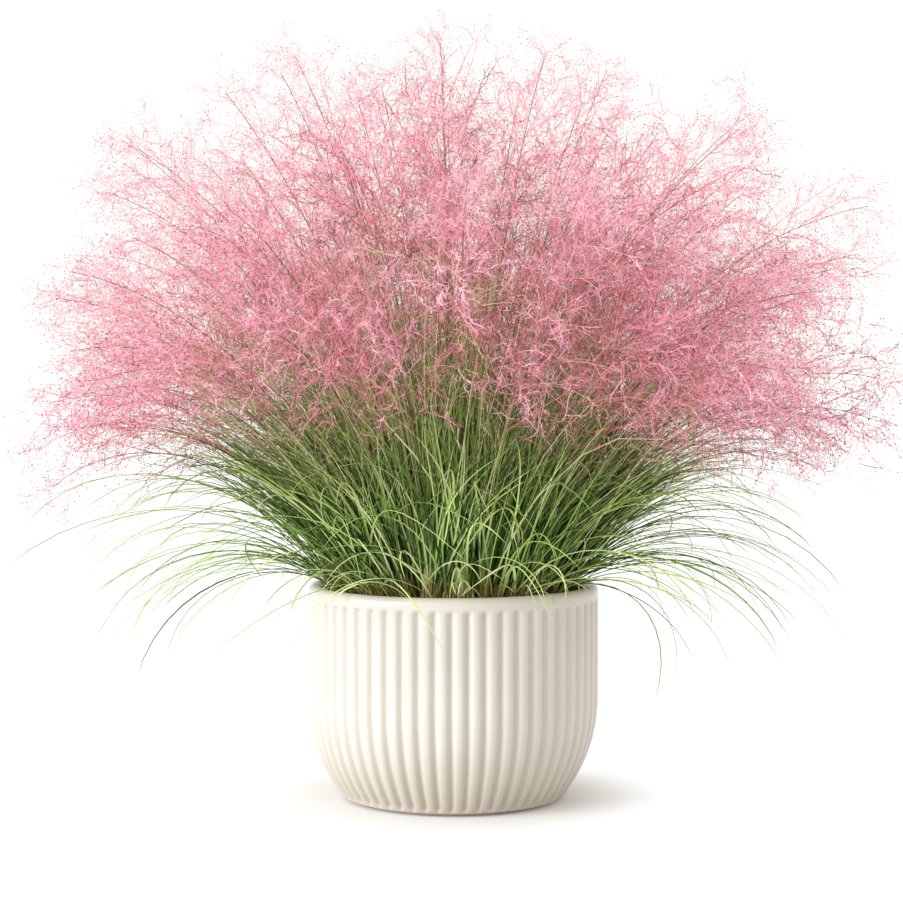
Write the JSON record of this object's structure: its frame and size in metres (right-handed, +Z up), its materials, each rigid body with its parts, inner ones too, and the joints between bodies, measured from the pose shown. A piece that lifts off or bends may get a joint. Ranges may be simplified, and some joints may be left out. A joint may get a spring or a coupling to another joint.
{
  "type": "potted muhly grass",
  "caption": "Pink-plumed ornamental grass in a round fluted pot: arching green leaves under a dome of airy flower plumes.",
  "frame": {"origin": "centre of the pot's flat underside, on the ground", "axes": "+Z up along the pot's axis, +X along the plant's broadest spread, and the pictured side faces -Y"},
  "size_m": [0.8857, 0.8705, 0.8113],
  "materials": {
    "pot_glaze": "satin",
    "potting_soil": "matte",
    "plumes": "matte",
    "leaves": "satin"
  },
  "bodies": {
    "root": {"pot": "pot_glaze", "soil": "potting_soil", "flower_spray_01": "plumes", "flower_spray_02": "plumes", "flower_spray_03": "plumes", "flower_spray_04": "plumes", "flower_spray_05": "plumes", "flower_spray_06": "plumes", "flower_spray_07": "plumes", "flower_spray_08": "plumes", "flower_spray_09": "plumes", "flower_spray_10": "plumes", "flower_spray_11": "plumes", "flower_spray_12": "plumes", "flower_spray_13": "plumes", "flower_spray_14": "plumes", "flower_spray_15": "plumes", "flower_spray_16": "plumes", "flower_spray_17": "plumes", "flower_spray_18": "plumes", "flower_spray_19": "plumes", "flower_spray_20": "plumes", "flower_spray_21": "plumes", "flower_spray_22": "plumes", "flower_spray_23": "plumes", "flower_spray_24": "plumes", "flower_spray_25": "plumes", "leaf_tuft_01": "leaves", "leaf_tuft_02": "leaves", "leaf_tuft_03": "leaves", "leaf_tuft_04": "leaves", "leaf_tuft_05": "leaves", "leaf_tuft_06": "leaves", "leaf_tuft_07": "leaves", "leaf_tuft_08": "leaves", "leaf_tuft_09": "leaves", "leaf_tuft_10": "leaves", "leaf_tuft_11": "leaves", "leaf_tuft_12": "leaves", "leaf_tuft_13": "leaves", "leaf_tuft_14": "leaves", "leaf_tuft_15": "leaves", "leaf_tuft_16": "leaves", "leaf_tuft_17": "leaves", "leaf_tuft_18": "leaves"}
  },
  "joints": []
}
